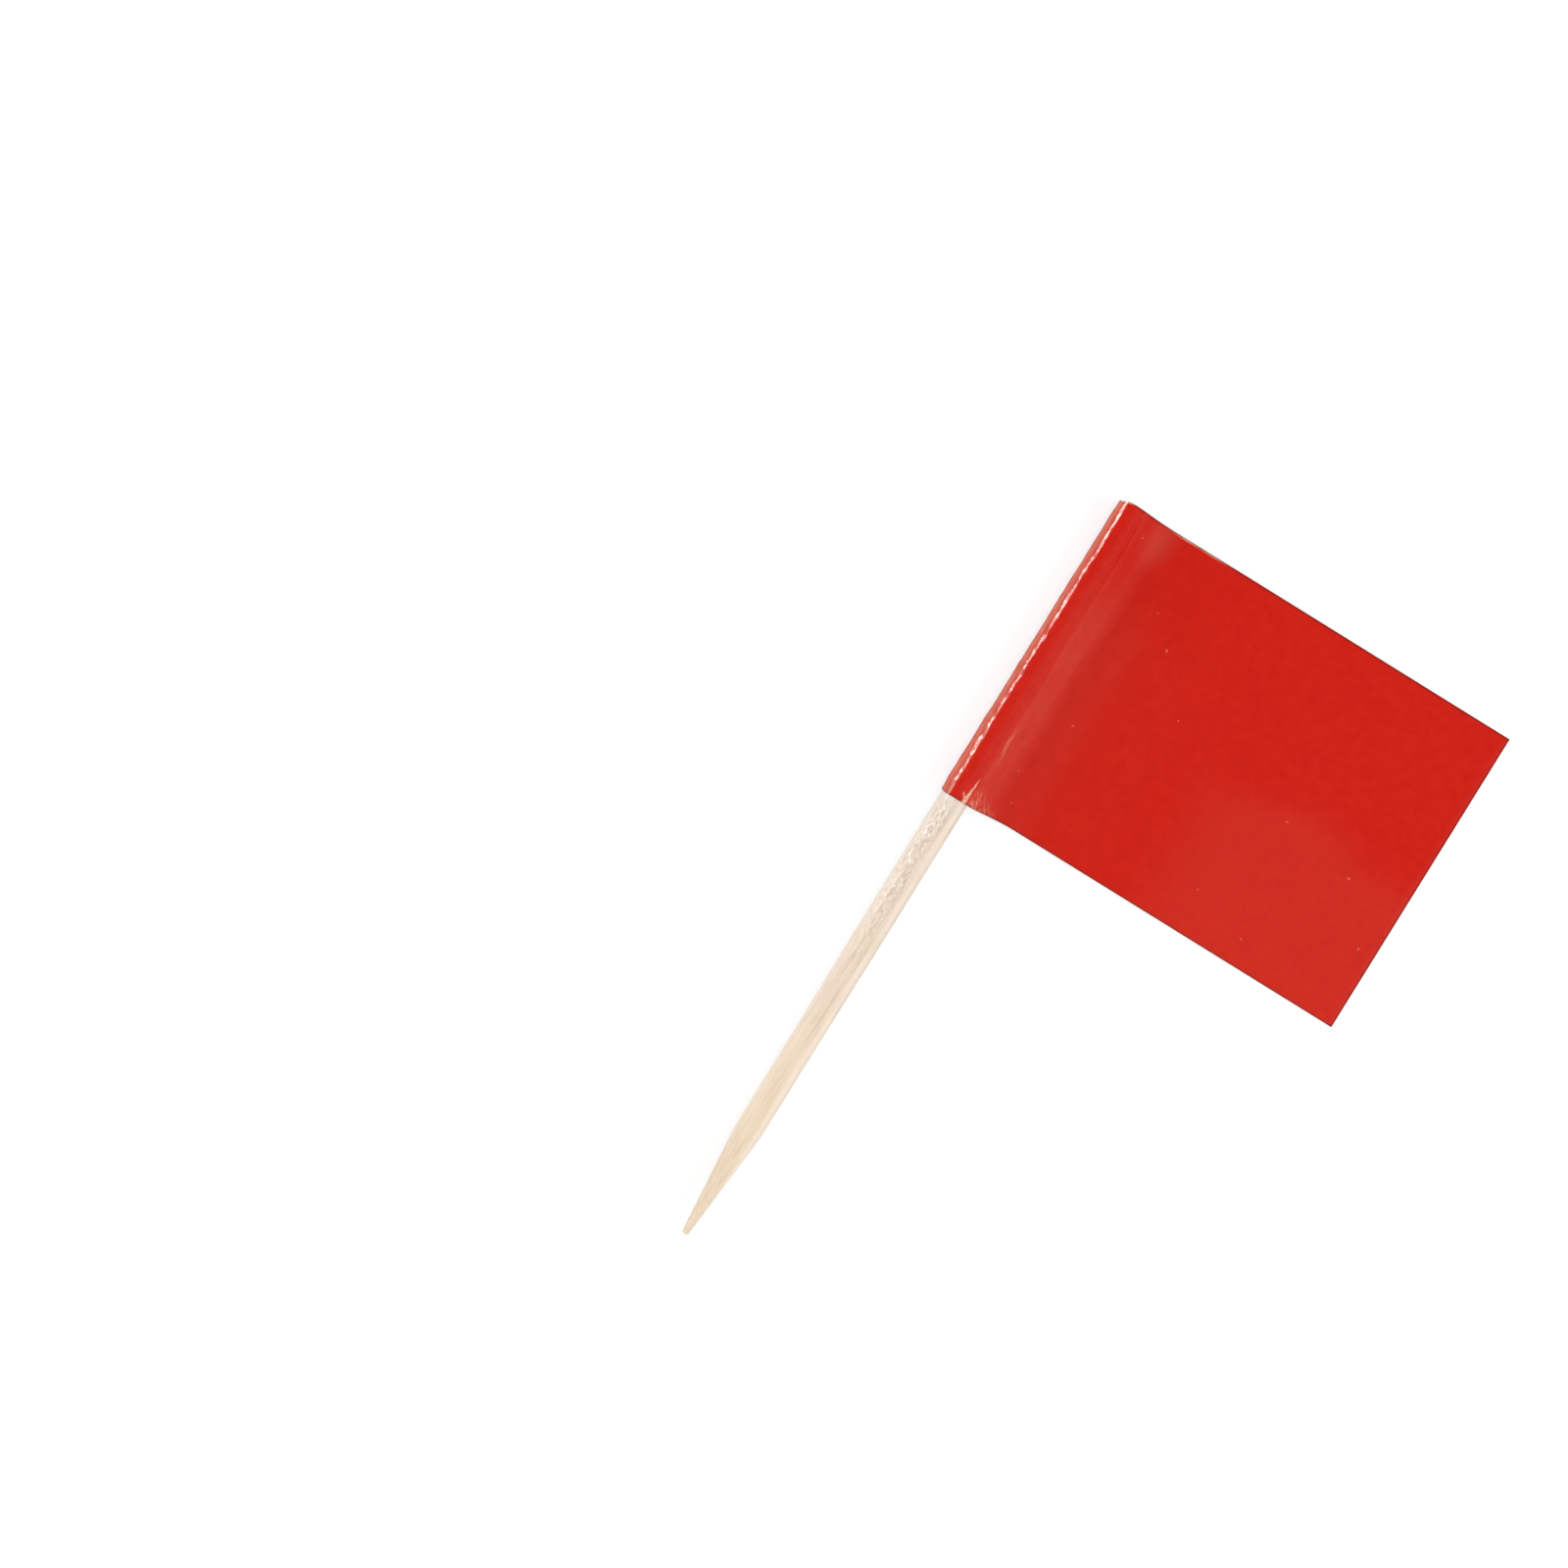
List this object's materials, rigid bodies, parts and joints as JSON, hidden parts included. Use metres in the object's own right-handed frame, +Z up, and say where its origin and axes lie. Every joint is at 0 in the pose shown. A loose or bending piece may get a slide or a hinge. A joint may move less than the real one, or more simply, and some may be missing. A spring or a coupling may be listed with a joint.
{
  "type": "flag toothpick",
  "caption": "Turned wooden food pick with a blunt-tipped point and a plain red paper flag folded round its upper end and glued to itself.",
  "frame": {"origin": "middle of the whole thing's box, on the table that it lies on", "axes": "+Y along the pick from the point to the end with the flag; +X out along the flag to its free edge; +Z up from the table, with the flag's lower leaf flat on it"},
  "size_m": [0.0351, 0.0654, 0.0024],
  "materials": {
    "birch_wood": "matte",
    "red_label_paper": "gloss"
  },
  "bodies": {
    "root": {"pick": "birch_wood", "flag": "red_label_paper"}
  },
  "joints": []
}
